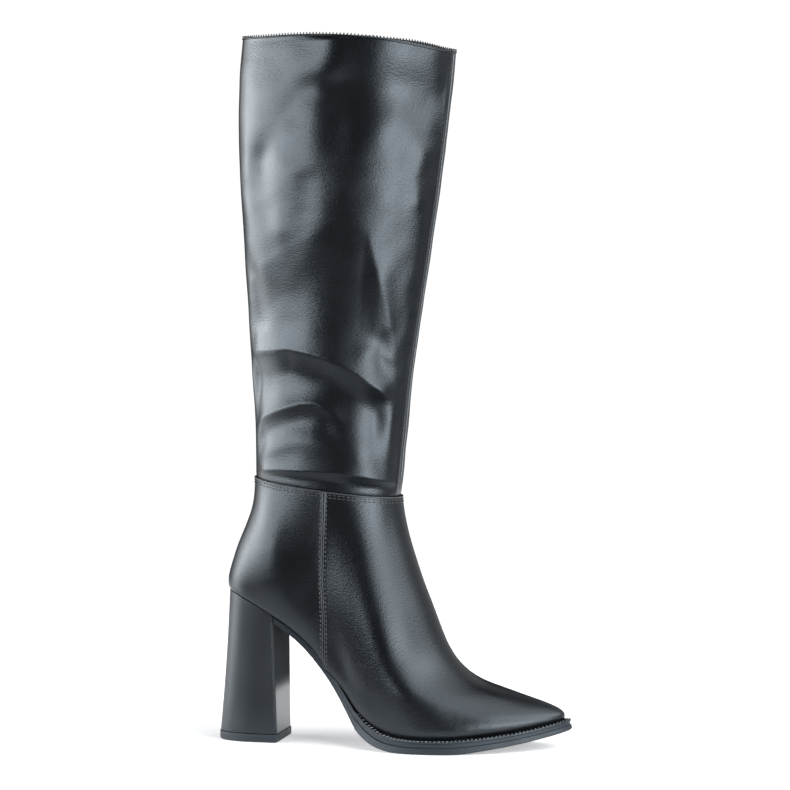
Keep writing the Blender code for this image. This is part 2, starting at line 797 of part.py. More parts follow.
def main():
    for thing in list(bpy.data.objects):
        bpy.data.objects.remove(thing)
    leather = (0.012, 0.013, 0.016)
    rubber = (0.045, 0.048, 0.055)
    upper = make_upper()
    finish(upper, leather, 0.38, 0.2)
    shaft = make_shaft()
    finish(shaft, leather, 0.38, 0.2)
    insole = make_insole()
    finish(insole, (0.03, 0.028, 0.026), 0.8)
    outsole = make_outsole()
    finish(outsole, rubber, 0.6)
    welt = make_welt()
    finish(welt, (0.03, 0.032, 0.037), 0.5)
    heel = make_heel()
    finish(heel, (0.018, 0.019, 0.022), 0.42)
    top_lift = make_top_lift()
    finish(top_lift, rubber, 0.6)
    set_down([upper, shaft, insole, outsole, welt, heel, top_lift])


main()
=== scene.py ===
"""The looks of a right knee-high boot in smooth black leather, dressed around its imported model."""
from collections import namedtuple
import math

import bpy
import numpy as np
from mathutils import Matrix, Vector, noise
from mathutils.bvhtree import BVHTree


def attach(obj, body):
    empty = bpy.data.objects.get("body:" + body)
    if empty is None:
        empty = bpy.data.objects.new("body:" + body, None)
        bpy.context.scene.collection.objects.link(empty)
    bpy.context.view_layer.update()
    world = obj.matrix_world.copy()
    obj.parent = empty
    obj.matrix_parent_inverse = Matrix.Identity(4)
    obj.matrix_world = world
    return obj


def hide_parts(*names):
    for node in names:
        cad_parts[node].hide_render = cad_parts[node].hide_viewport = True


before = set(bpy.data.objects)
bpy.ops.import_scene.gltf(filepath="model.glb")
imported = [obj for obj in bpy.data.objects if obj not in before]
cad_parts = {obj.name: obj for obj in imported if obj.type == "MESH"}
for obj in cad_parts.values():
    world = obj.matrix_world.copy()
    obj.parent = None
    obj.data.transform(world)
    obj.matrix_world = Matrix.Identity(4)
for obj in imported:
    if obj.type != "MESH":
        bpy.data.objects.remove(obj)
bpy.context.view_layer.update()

MM = 0.001

# Where the photograph was taken from: azimuth from straight beside the boot towards its toe.
VIEW_AZIMUTH = 13.0
VIEW_DISTANCE = 2.53
VIEW_HEIGHT = 0.42
LOOK_AT = Vector((0.00065, 0.0, 0.2358))
LENS = 172.07
SENSOR_WIDTH = 36.0

# The softboxes stand at one distance and face one point. Turn goes to the right from the camera's side,
# lift goes up from the floor, and with the half angles that a softbox takes up they are in degrees. It is
# brightest in its middle and fades "up and down" or "all round", or it is even.
LIGHT_DISTANCE = 1.6
LIGHT_TARGET = Vector((0.0, 0.0, 0.25))
LAMP_COLOUR = (0.97, 0.99, 1.0)
Softbox = namedtuple("Softbox", "name turn lift half_turn half_lift brightness fades")
SOFTBOXES = (
    Softbox("left_bank", -78, 5, 39, 15, 9.2, "up and down"),
    Softbox("left_fill", -32, 8, 14, 14, 0.25, "all round"),
    Softbox("left_low", -108, -17, 26, 15, 4.0, "all round"),
    Softbox("left_rear", -113, 9, 30, 14, 3.6, "all round"),
    Softbox("right_box", 39, -4, 23, 16, 12.2, "all round"),
    Softbox("right_high", 60, 27, 36, 23, 7.0, "all round"),
    Softbox("right_rear", 120, 8, 42, 34, 0.45, None),
    Softbox("floor_glow", -45, -44, 62, 11, 1.1, None),
    Softbox("overhead", 60, 62, 40, 22, 3.2, "all round"),
)
WORLD_COLOUR = (0.55, 0.6, 0.68, 1.0)
WORLD_STRENGTH = 0.06

# The floor and the backdrop, in metres.
FLOOR_RADIUS = 0.62
FLOOR_MIDDLE = (0.0, 0.52, -0.0002)
FLOOR_COLOUR = (0.86, 0.86, 0.87)
FLOOR_GLOW = 0.4
BACKDROP_RADIUS = 9.0
BACKDROP_GLOW = 1.05
WHITE = (1.0, 1.0, 1.0, 1.0)

# The leg's section, low and high. An angle round it is 0 at the back and 180 at the front, and MM_PER_DEGREE
# is about how wide a degree is.
Section = namedtuple("Section", "height middle half_length half_width")
LEG_LOW = Section(176 * MM, -45.5 * MM, 50.0 * MM, 34.0 * MM)
LEG_HIGH = Section(470 * MM, -31.1 * MM, 72.8 * MM, 45.0 * MM)
MM_PER_DEGREE = 0.95

# The leg's wall in its model: heights between which a face of its lining is looked for, how far that face
# lies from the middle and how straight it faces the inner side, and the length and steepness from which an
# edge is an upright one that is cut.
LINING_HEIGHTS = (300 * MM, 340 * MM)
LINING_SIDE = 20 * MM
LINING_FACING = 0.8
LONG_EDGE = 3 * MM
STEEP_EDGE = 2
UPRIGHT_CUTS = 3

# Long waves down the leg, above the heights in mm over which they begin.
Wave = namedtuple("Wave", "angle half_width height")
WAVES = (Wave(97, 26, 1.0), Wave(48, 24, -1.8), Wave(142, 20, -2.2))
WAVES_BEGIN = (205, 265)

# Ledges of the leg, where it flares over a tuck. A line goes by angle, height in mm, and height in mm of
# the shoulder above it. From the shoulder the leather first falls back, at a slope, and then flares out to
# the line, at another. Then come, in mm, how far it drops below the line, over what run, and over what
# height it is out again.
Ledge = namedtuple("Ledge", "side line fall flare drop run out")
LEDGES = (
    Ledge("outer", ((8, 262, 300), (30, 264.6, 318), (50, 266, 329), (65, 267.2, 336), (78, 265.5, 343),
                    (90, 262.4, 352), (101, 257.8, 356), (115, 251.8, 348), (127, 244.4, 314),
                    (141, 237.4, 284), (152, 233, 262)), 0.15, 0.19, 4.2, 17, 40),
    Ledge("outer", ((20, 214, 226), (34, 220.3, 236), (44, 223.4, 240), (62, 228.2, 246), (75, 231.3, 247),
                    (85, 231.5, 247), (96, 227.7, 242), (112, 218, 232)), 0.0, 0.16, 2.8, 12, 16),
    Ledge("outer", ((24, 184, 196), (38, 185.3, 199), (57, 186.3, 201), (86, 186.6, 201), (104, 185.5, 200),
                    (125, 182.7, 197), (150, 179.3, 193), (172, 176, 190)), 0.0, 0.2, 2.7, 11, 6),
    Ledge("outer", ((118, 270, 290), (130, 267, 288), (142, 262, 282), (158, 257, 275)),
          0.0, 0.08, 1.1, 12, 14),
    Ledge("inner", ((12, 258, 300), (40, 268, 326), (75, 266, 330), (110, 250, 310), (140, 236, 290),
                    (160, 230, 270)), 0.08, 0.17, 4.2, 14, 18),
    Ledge("inner", ((20, 225, 240), (50, 222, 240), (85, 214, 232), (120, 216, 234), (150, 221, 236)),
          0.0, 0.16, 2.6, 11, 12),
    Ledge("inner", ((20, 184, 197), (60, 187, 200), (100, 186, 200), (140, 181, 195), (170, 176, 190)),
          0.0, 0.18, 2.3, 10, 8),
)

# How a ledge bends: the powers of its flare and of its drop, how softly its fall begins, and over how many
# degrees it rises from its rear and its front end.
FLARE_POWER = 2.5
DROP_POWER = 1.7
FALL_EASE = 0.12
LEDGE_REAR = 16
LEDGE_FRONT = 20

# Soft ridges and troughs of the leg. A line goes by angle and height in mm, and the rest is in mm.
Fold = namedtuple("Fold", "side line half_width height")
FOLDS = (
    Fold("outer", ((90, 480), (88, 462), (86, 452)), 10, 2.2),
    Fold("outer", ((93, 444), (94, 424), (95, 404)), 9, -1.4),
    Fold("outer", ((82, 446), (66, 426), (50, 406), (40, 392)), 9, -1.1),
    Fold("outer", ((66, 384), (62, 366), (60, 348)), 9, 0.9),
    Fold("outer", ((78, 380), (76, 360)), 7, -0.7),
    Fold("outer", ((44, 390), (42, 374), (42, 362)), 11, -1.5),
    Fold("outer", ((30, 316), (33, 300), (34, 286)), 9, -1.3),
    Fold("outer", ((108, 437), (128, 438), (150, 435)), 19, -3.0),
    Fold("outer", ((114, 492), (142, 490)), 42, 2.4),
    Fold("outer", ((150, 398), (146, 382), (150, 366)), 8, 0.9),
    Fold("outer", ((127, 314), (130, 298), (134, 284)), 9, 1.1),
    Fold("outer", ((124, 264), (131, 254), (138, 244)), 9, 1.2),
    Fold("outer", ((121, 240), (123, 220), (123, 196)), 17, 1.1),
    Fold("inner", ((60, 440), (80, 410), (104, 390)), 20, -1.2),
    Fold("inner", ((50, 350), (76, 330), (104, 322)), 15, -1.8),
    Fold("inner", ((126, 330), (130, 300), (124, 276)), 11, 1.4),
    Fold("inner", ((40, 400), (52, 372)), 10, 1.0),
)

# How uneven the leg's leather is: height in mm and size of the waves.
MOTTLE = 0.45
MOTTLE_SIZE = 17 * MM

# Where the leg stays smooth, each time from smooth to creased: mm above the ankle seam, height in mm under
# the collar, and angles at the back and at the front.
SMOOTH_ABOVE_ANKLE = (0.5, 8.5)
SMOOTH_UNDER_COLLAR = (482, 472)
SMOOTH_AT_BACK = (0, 14)
SMOOTH_AT_FRONT = (180, 170)

# How much fuller the foot part is than its model and where, in mm. A height or a place is the middle and
# half width of a hill, and a rise goes from nothing to all.
BALL_FULLNESS = 2.3
BALL_HEIGHT = (38, 15)
BALL_REAR_RISE = (-10, 20)
BALL_FRONT_RISE = (100, 70)
TOE_FULLNESS = 1.1
TOE_HEIGHT = (12, 6.5)
TOE_REAR_RISE = (45, 75)
TOE_FRONT_RISE = (116, 96)
COUNTER_FULLNESS = 1.6
COUNTER_PLACE = (-78, 11)
COUNTER_LOW_RISE = (88, 113)
COUNTER_HIGH_RISE = (140, 172)
COUNTER_LESS_HIGH = 0.8
WAIST_FULLNESS = 4.5
WAIST_PLACE = (-46, 22)
WAIST_HEIGHT = (90, 33)
SIDE_RISE = (0, 12)

# The feather edge, where the toe's leather meets the welt: place along the boot and height in mm.
FEATHER_EDGE = ((27, 9), (54, 10), (84, 13), (101, 16), (114, 19))

# The ankle seam, in mm: its places at the back and the front, its heights there as cut and how much higher
# it is worn, and the heights over which the foot part is stretched for that.
ANKLE_PLACES = (-95.45, 4.45)
ANKLE_HEIGHTS = (176.4, 166.0)
ANKLE_WORN_HIGHER = (3.2, 1.6)
ANKLE_STRETCH = (135, 166)

# The side seam, in mm: height and place along the boot, its place in the model, how near the leather moves
# with it, and how much and how near it is pinched.
SIDE_SEAM = ((176, -39.9), (112, -42.0), (85, -41.4), (62, -42.3), (50, -42.5))
SIDE_SEAM_IN_MODEL = -39.45
SIDE_SEAM_PULL = 7
SIDE_SEAM_PINCH = 0.45
SIDE_SEAM_PINCH_WIDTH = 1.8

# The collar's arched edge: place along the boot and height in mm.
COLLAR_ARCH = ((-104, 474.8), (-84, 475.5), (-64, 476.4), (-44, 476.8), (-23, 476.2), (2, 473.8),
               (22, 470.1), (42, 465.5))

# A place well outside the boot, from which rays are sent back to it.
OUTSIDE = 200 * MM

# The side seam's ridges and stitches, in mm: offset from the seam, start below the ankle's edge, step down,
# the height at which the seam's top is taken, and where a row ends: on leather that faces so far down or
# lies so near the middle.
SIDE_RIDGE_OFFSET = 0.6
SIDE_RIDGE_START = 1.0
SIDE_STITCH_OFFSET = 1.95
SIDE_STITCH_PITCH = 3.1 * MM
SIDE_STITCH_SLANT = 0.12
SIDE_STEP = 2.0
SIDE_TOP = 170 * MM
SIDE_END_FACING = -0.75
SIDE_END_NEAR = 12 * MM

# The front seam: its angle round the leg, its top, bottom and step in mm, and how far out its rays start, as
# a share of the leg's half width.
FRONT_SEAM_ANGLE = 176
FRONT_SEAM_LEVELS = (464, 178, -4.0)
FRONT_SEAM_SEARCH = 1.6

# Rows round the ankle and the collar: distance in mm below the edge, pitch, points of the line, and how often
# the ankle's height is taken anew at the place that was found.
ANKLE_EDGE_BELOW = 0.4
ANKLE_ROWS = (1.9, 3.7)
ANKLE_STITCH_PITCH = 3.0 * MM
ANKLE_POINTS = 120
ANKLE_TRIES = 3
COLLAR_EDGE_BELOW = 0.75
COLLAR_ROW = 0.4
COLLAR_STITCH_PITCH = 2.4 * MM
COLLAR_STITCH_SLANT = math.pi / 2 - 0.3
COLLAR_STITCH_RISE = Vector((0, 0, 0.7 * MM))
COLLAR_POINTS = 160

# The welt: its rim, groove and eased edges, its row of stitches from its edge, the place in mm that its
# outline goes round and how far in degrees to each side of the toe, and the distances in mm at which its
# edge is looked for.
WELT_RIM = 0.75 * MM
WELT_GROOVE = 0.9 * MM
WELT_BEVEL = 0.12 * MM
WELT_FACING = 0.7
WELT_ROW = 1.9 * MM
WELT_STITCH_PITCH = 2.8 * MM
WELT_STITCH_SLANT = 0.9
WELT_MIDDLE = Vector((45 * MM, 0, 100 * MM))
WELT_TURN = 157
WELT_REACH = (95, 25, -0.4)
WELT_POINTS = 240
WELT_STEP = 1.5 * MM

# The bead along the waist, in mm: its places along the boot, the heights at which the sole is looked for,
# how near the middle is too near, and how far in and down from the sole's edge the bead lies.
WAIST_BEAD_PLACES = (-62, -20, 1.5)
WAIST_BEAD_LEVELS = (110, 10, -0.4)
WAIST_BEAD_NEAR = 8
WAIST_BEAD_IN = 0.35 * MM
WAIST_BEAD_DOWN = 0.25 * MM

# The folded corner of the heel's cover, in mm: its heights, the distances from the middle at which it is
# looked for, and the place that the breast lies behind. The breast is what faces so far forwards.
BREAST_LEVELS = (8, 84, 2.0)
BREAST_CORNERS = (26, 8, -0.25)
BREAST_PLACE = -40
BREAST_FACING = 0.93

# A stitch: length, width and height. Stitches lie a little proud of the leather.
LEATHER_STITCH = (2.2 * MM, 0.8 * MM, 0.7 * MM)
COLLAR_STITCH = (2.2 * MM, 1.1 * MM, 1.0 * MM)
WELT_STITCH = (2.6 * MM, 0.9 * MM, 0.9 * MM)
STITCH_SIDES = 6
STITCH_PROUD = 0.15 * MM

# Radii of the beads.
ANKLE_BEAD = 0.5 * MM
RIDGE_BEAD = 0.34 * MM
FRONT_BEAD = 0.5 * MM
COLLAR_BEAD = 0.6 * MM
HEEL_BEAD = 0.6 * MM
WAIST_BEAD = 0.75 * MM

# Angles in degrees: from which an edge is kept when a piece is rounded, at which one smooth face ends, from
# which a hard edge is eased, and up to which soft, round and hard pieces are shaded smooth.
KEPT_EDGE = 50
FACE_END = 60
EASED_EDGE = 30
EASED_WELT_EDGE = 40
SOFT_SHADE = 40
ROUND_SHADE = 60
HARD_SHADE = 35


def mix(a, b, share):
    return a + (b - a) * share


def rise(at, start, end):
    """A soft step, from 0 at a start to 1 at an end."""
    share = np.clip((at - start) / (end - start), 0.0, 1.0)
    return share * share * (3 - 2 * share)


def hill(at, middle, half_width):
    """A soft hill, 1 at its middle and about a third at its half width."""
    return np.exp(-((at - middle) / half_width) ** 2)


# Modelling helpers

def deselect():
    if bpy.context.object and bpy.context.object.mode != "OBJECT":
        bpy.ops.object.mode_set(mode="OBJECT")
    bpy.ops.object.select_all(action="DESELECT")


def work_on(piece, mode="OBJECT"):
    """Make a piece the only selected one, in a mode, with nothing selected inside it."""
    deselect()
    bpy.context.view_layer.objects.active = piece
    piece.select_set(True)
    if mode == "EDIT":
        bpy.ops.object.mode_set(mode="EDIT")
        bpy.ops.mesh.select_all(action="DESELECT")


def copy_of(node, name):
    """A merged copy of a node's shape in quads, to be refined into a visible piece."""
    piece = bpy.data.objects.new(name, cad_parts[node].data.copy())
    piece.data.materials.clear()
    bpy.context.collection.objects.link(piece)
    work_on(piece)
    bpy.ops.mesh.customdata_custom_splitnormals_clear()
    work_on(piece, "EDIT")
    bpy.ops.mesh.select_all(action="SELECT")
    bpy.ops.mesh.remove_doubles(threshold=0.01 * MM)
    bpy.ops.mesh.tris_convert_to_quads(face_threshold=math.pi, shape_threshold=math.pi)
    bpy.ops.mesh.select_all(action="DESELECT")
    bpy.ops.object.mode_set(mode="OBJECT")
    return piece


def apply(piece, kind, **settings):
    """Add a modifier and apply it."""
    work_on(piece)
    modifier = piece.modifiers.new(kind.title(), kind)
    for key, value in settings.items():
        setattr(modifier, key, value)
    bpy.ops.object.modifier_apply(modifier=modifier.name)


def crease_edges(piece):
    """Crease every sharp edge, so that subdivision keeps it."""
    work_on(piece, "EDIT")
    bpy.ops.mesh.select_mode(type="EDGE")
    bpy.ops.mesh.edges_select_sharp(sharpness=math.radians(KEPT_EDGE))
    bpy.ops.transform.edge_crease(value=1.0)
    bpy.ops.object.mode_set(mode="OBJECT")


def refine(piece, levels):
    apply(piece, "SUBSURF", levels=levels, render_levels=levels)


def ease(piece, width, angle):
    """Bevel every edge sharper than an angle."""
    apply(piece, "BEVEL", width=width, segments=2, limit_method="ANGLE", angle_limit=math.radians(angle))


def shade(piece, angle):
    work_on(piece)
    bpy.ops.object.shade_smooth_by_angle(angle=math.radians(angle))


def points_of(piece):
    points = np.empty(len(piece.data.vertices) * 3)
    piece.data.vertices.foreach_get("co", points)
    return points.reshape(-1, 3)


def put_points(piece, points):
    piece.data.vertices.foreach_set("co", np.ascontiguousarray(points, np.float32).ravel())
    piece.data.update()


def surface_of(piece):
    points = [v.co for v in piece.data.vertices]
    return BVHTree.FromPolygons(points, [p.vertices for p in piece.data.polygons])


def evenly(points, pitch, closed=False):
    """Points a pitch apart along a line of others, with their directions."""
    line = np.array([tuple(p) for p in points])
    if closed:
        line = np.vstack([line, line[:1]])
    run = np.concatenate([[0], np.cumsum(np.linalg.norm(np.diff(line, axis=0), axis=1))])
    count = max(2, round(run[-1] / pitch))
    at = (np.arange(count) + 0.5) * run[-1] / count
    spots, ahead = (np.stack([np.interp(place, run, line[:, k]) for k in range(3)], axis=1)
                    for place in (at, at + pitch / 4))
    return [(Vector(here), Vector(there - here).normalized()) for here, there in zip(spots, ahead)]


def bead(name, points, radius, material, slot, closed=False):
    """A round bead along a line of points."""
    curve = bpy.data.curves.new(name, "CURVE")
    curve.dimensions = "3D"
    curve.bevel_depth = radius
    curve.bevel_resolution = 2
    curve.use_fill_caps = True
    spline = curve.splines.new("POLY")
    spline.points.add(len(points) - 1)
    for spot, place in zip(spline.points, points):
        spot.co = (*place, 1.0)
    spline.use_cyclic_u = closed
    piece = bpy.data.objects.new(name, curve)
    bpy.context.collection.objects.link(piece)
    work_on(piece)
    bpy.ops.object.convert(target="MESH")
    shade(piece, ROUND_SHADE)
    give(piece, material, slot)


def sew(name, spots, size, material, slot, slant=0.0):
    """Stitches of one size in one mesh, at spots of place, direction and outward direction."""
    deselect()
    bpy.ops.mesh.primitive_uv_sphere_add(segments=STITCH_SIDES, ring_count=STITCH_SIDES, radius=0.5,
                                         rotation=(0, math.pi / 2, 0))
    first = bpy.context.object
    bpy.ops.object.transform_apply(location=False, rotation=True, scale=False)
    bpy.ops.transform.resize(value=size)
    bpy.ops.object.transform_apply(location=False, rotation=False, scale=True)
    stitches = []
    for place, along, out in spots:
        along = Matrix.Rotation(slant, 3, out) @ along
        along = (along - out * along.dot(out)).normalized()
        turned = Matrix((along, out.cross(along), out)).transposed().to_4x4()
        stitch = bpy.data.objects.new(name, first.data.copy())
        stitch.matrix_world = Matrix.Translation(place) @ turned
        bpy.context.collection.objects.link(stitch)
        stitches.append(stitch)
    bpy.data.objects.remove(first)
    deselect()
    for stitch in stitches:
        stitch.select_set(True)
    bpy.context.view_layer.objects.active = stitches[0]
    bpy.ops.object.join()
    piece = bpy.context.object
    piece.name = name
    bpy.ops.object.transform_apply()
    shade(piece, ROUND_SHADE)
    give(piece, material, slot)


def laid(surface, points, pitch, closed=False, proud=0.0):
    """Spots a pitch apart along a line on a surface: place, direction and outward direction."""
    spots = []
    for place, along in evenly(points, pitch, closed):
        hit, out, *_ = surface.find_nearest(place)
        spots.append((hit + out * proud, along, out))
    return spots


# Materials

# The Mix node's sockets for colours: its two colours and its result.
MIX_FIRST = 6
MIX_SECOND = 7
MIX_RESULT = 2

# How every shiny surface tints what it mirrors.
COOL = (0.8, 0.91, 1.0, 1.0)

# The leather's patterns, in waves a metre: its tone, its fine gloss, the cells of its grain and its fibres.
# A range is the part of the tone's noise that is spread out, and a spread is in roughness.
TONE_SCALE = 18.0
TONE_RANGE = (0.3, 0.7)
GLOSS_RANGE = (0.25, 0.75)
GLOSS_SPREAD = (-0.03, 0.04)
FINE_GLOSS_SCALE = 420.0
FINE_GLOSS_SPREAD = 0.03
CELL_SCALE = 1150.0
CELL_SOFTNESS = 0.6
CELL_SHARE = 0.4
FIBRE_SCALE = 430.0
FIBRE_SQUEEZE = (1.0, 1.0, 2.6)
FIBRE_TURN = (0.0, 0.6, 0.0)

# The rubber's patterns and the thread's, in the same way, and the heights of their grain.
PATCH_SCALE = 60.0
PATCH_RANGE = (0.3, 0.7)
PATCH_SPREAD = (-0.05, 0.06)
RUBBER_GRAIN_SCALE = 900.0
RUBBER_GRAIN = 0.03 * MM
THREAD_GRAIN_SCALE = 1600.0
THREAD_GRAIN = 0.04 * MM

# Heights between which the heel breast turns from polished to dull, and its roughness there.
BREAST_SHINE = (30 * MM, 46 * MM)
BREAST_ROUGHNESS = (0.1, 0.9)


class Wire:
    """A value or socket of a node tree, on which sums are written as Python."""

    def __init__(self, tree, socket):
        self.tree = tree
        self.socket = socket

    def sum(self, operation, first, second):
        node = self.tree.nodes.new("ShaderNodeMath")
        node.operation = operation
        for value, socket in zip((first, second), node.inputs):
            if isinstance(value, Wire):
                self.tree.links.new(value.socket, socket)
            else:
                socket.default_value = value
        return Wire(self.tree, node.outputs[0])

    def __add__(self, other):
        return self.sum("ADD", self, other)

    def __mul__(self, other):
        return self.sum("MULTIPLY", self, other)

    def __sub__(self, other):
        return self.sum("SUBTRACT", self, other)

    def __rsub__(self, other):
        return self.sum("SUBTRACT", other, self)

    __radd__ = __add__
    __rmul__ = __mul__


class Nodes:
    """A node tree under construction."""

    def __init__(self, tree):
        self.tree = tree

    def link(self, value, socket):
        if isinstance(value, Wire):
            self.tree.links.new(value.socket, socket)
        else:
            socket.default_value = value

    def node(self, kind, settings, sockets):
        made = self.tree.nodes.new(kind)
        for key, value in settings.items():
            setattr(made, key, value)
        for key, value in sockets.items():
            self.link(value, made.inputs[key])
        return made

    def value(self, kind, settings, sockets, output=0):
        return Wire(self.tree, self.node(kind, settings, sockets).outputs[output])


class Finish(Nodes):
    """A material under construction."""

    def __init__(self, name, colour, roughness, **sockets):
        self.material = bpy.data.materials.new(name)
        self.material.use_nodes = True
        super().__init__(self.material.node_tree)
        self.shader = self.tree.nodes["Principled BSDF"]
        self.set("Base Color", (*colour, 1.0))
        self.set("Roughness", roughness)
        for key, value in sockets.items():
            self.set(key.replace("_", " "), value)
        self.place = self.value("ShaderNodeTexCoord", {}, {}, "Object")

    def set(self, name, value):
        self.link(value, self.shader.inputs[name])

    def noise(self, scale, detail, squeeze=None, turn=None):
        """Noise over a piece, squeezed and turned if it is given how."""
        place = self.place
        if squeeze:
            place = self.value("ShaderNodeMapping", {}, {"Vector": place, "Scale": squeeze, "Rotation": turn})
        return self.value("ShaderNodeTexNoise", {}, {"Vector": place, "Scale": scale, "Detail": detail})

    def ramp(self, wire, through, ends=(0.0, 1.0)):
        """A value that goes softly from one end to the other while a wire goes through a range."""
        sockets = {"Value": wire, "From Min": through[0], "From Max": through[1],
                   "To Min": ends[0], "To Max": ends[1]}
        return self.value("ShaderNodeMapRange", {"interpolation_type": "SMOOTHSTEP"}, sockets)

    def uneven(self, wire, through, middle, spread):
        """A value that departs from a middle one by a spread while a wire goes through a range."""
        return self.ramp(wire, through, (middle + spread[0], middle + spread[1]))

    def colours(self, share, a, b):
        sockets = {"Factor": share, MIX_FIRST: (*a, 1.0), MIX_SECOND: (*b, 1.0)}
        return self.value("ShaderNodeMix", {"data_type": "RGBA"}, sockets, MIX_RESULT)

    def bump(self, height, distance):
        sockets = {"Height": height, "Distance": distance, "Strength": 1.0}
        self.set("Normal", self.value("ShaderNodeBump", {}, sockets))

    def glow(self, strength):
        self.set("Emission Color", WHITE)
        self.set("Emission Strength", strength)


def leather(name, dark, light, rough, grain):
    """Smooth black leather: fine grain, faint tone, a soft satin gloss."""
    finish = Finish(name, dark, rough, Specular_IOR_Level=0.5, Specular_Tint=COOL)
    tone = finish.noise(TONE_SCALE, detail=4.0)
    finish.set("Base Color", finish.colours(finish.ramp(tone, TONE_RANGE), dark, light))
    patches = finish.uneven(tone, GLOSS_RANGE, rough, GLOSS_SPREAD)
    finish.set("Roughness", patches + finish.noise(FINE_GLOSS_SCALE, detail=2.0) * FINE_GLOSS_SPREAD)
    cells = finish.value("ShaderNodeTexVoronoi", {"feature": "SMOOTH_F1"},
                         {"Vector": finish.place, "Scale": CELL_SCALE, "Smoothness": CELL_SOFTNESS})
    fibres = finish.noise(FIBRE_SCALE, detail=3.0, squeeze=FIBRE_SQUEEZE, turn=FIBRE_TURN)
    finish.bump(cells * CELL_SHARE + fibres, grain)
    return finish.material


def breast_leather(name, colour):
    """The heel breast's polished cover, which is dull under the waist."""
    polished, dull = BREAST_ROUGHNESS
    finish = Finish(name, colour, polished, Specular_IOR_Level=0.5, Specular_Tint=COOL)
    height = finish.value("ShaderNodeSeparateXYZ", {}, {"Vector": finish.place}, "Z")
    finish.set("Roughness", finish.ramp(height, BREAST_SHINE, (polished, dull)))
    return finish.material


def rubber(name, colour, rough):
    """Moulded rubber with a fine skin, a little uneven in its gloss."""
    finish = Finish(name, colour, rough, Specular_IOR_Level=0.45, Specular_Tint=COOL)
    patches = finish.noise(PATCH_SCALE, detail=4.0)
    finish.set("Roughness", finish.uneven(patches, PATCH_RANGE, rough, PATCH_SPREAD))
    finish.bump(finish.noise(RUBBER_GRAIN_SCALE, detail=3.0), RUBBER_GRAIN)
    return finish.material


def thread(name, colour, rough):
    """Waxed thread, a little uneven."""
    finish = Finish(name, colour, rough, Specular_IOR_Level=0.5)
    finish.bump(finish.noise(THREAD_GRAIN_SCALE, detail=2.0), THREAD_GRAIN)
    return finish.material


def give(piece, material, slot, *nodes):
    """Dress a piece, attach it to the root and hide the nodes that it stands for."""
    piece.data.materials.clear()
    piece.data.materials.append(material)
    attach(piece, "root")
    if nodes:
        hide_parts(*nodes)


# The leg

def leg_section(height):
    """Middle, half length and half width of the leg's section at a height."""
    share = np.clip((height - LEG_LOW.height) / (LEG_HIGH.height - LEG_LOW.height), 0, 1)
    return [mix(low, high, share) for low, high in zip(LEG_LOW[1:], LEG_HIGH[1:])]


def leg_place(points):
    """Angle round the leg, 0 at the back and 180 at the front, the side, and the outward direction."""
    middle, half_length, half_width = leg_section(points[:, 2])
    back = (middle - points[:, 0]) / half_length
    across = points[:, 1] / half_width
    angle = np.degrees(np.arctan2(np.abs(across), back))
    away = np.stack([-back / half_length, across / half_width, np.zeros_like(back)], axis=1)
    away /= np.linalg.norm(away, axis=1, keepdims=True)
    return angle, np.sign(across), away


def ledge_section(ledge, below, reach):
    """Height of a ledge's section at a distance below its line, with its shoulder a reach above the line."""
    def shoulder(down):
        flare = (ledge.fall + ledge.flare) * down ** FLARE_POWER / FLARE_POWER
        return reach * (flare - ledge.fall * down ** 2 / (down + FALL_EASE))

    lip = shoulder(1.0)
    above = shoulder(np.clip(1 + below / reach, 0, 1))
    slope = lip - ledge.drop * (1 - (1 - np.clip(below / ledge.run, 0, 1)) ** DROP_POWER)
    back = (lip - ledge.drop) * (1 - rise(below, ledge.run, ledge.run + ledge.out))
    return np.where(below < 0, above, np.where(below < ledge.run, slope, back))


def distance_to_line(across, up, line):
    """How far points lie from a line of points, all in mm."""
    nearest = np.full(len(across), np.inf)
    for (start_across, start_up), (end_across, end_up) in zip(line, line[1:]):
        run_across = end_across - start_across
        run_up = end_up - start_up
        share = (across - start_across) * run_across + (up - start_up) * run_up
        share = np.clip(share / (run_across ** 2 + run_up ** 2), 0, 1)
        gap = np.hypot(across - start_across - share * run_across, up - start_up - share * run_up)
        nearest = np.minimum(nearest, gap)
    return nearest


def ankle_rise(x):
    """How far the foot part's edge is worn higher up the leg than it was cut, in mm."""
    return np.interp(x / MM, ANKLE_PLACES, ANKLE_WORN_HIGHER)


def seam_height(x):
    """Height of the ankle seam, in mm."""
    return np.interp(x / MM, ANKLE_PLACES, ANKLE_HEIGHTS) + ankle_rise(x)


def collar_height(x):
    """Height of the collar's arched edge, in mm."""
    places, heights = zip(*COLLAR_ARCH)
    return np.interp(x / MM, places, heights)


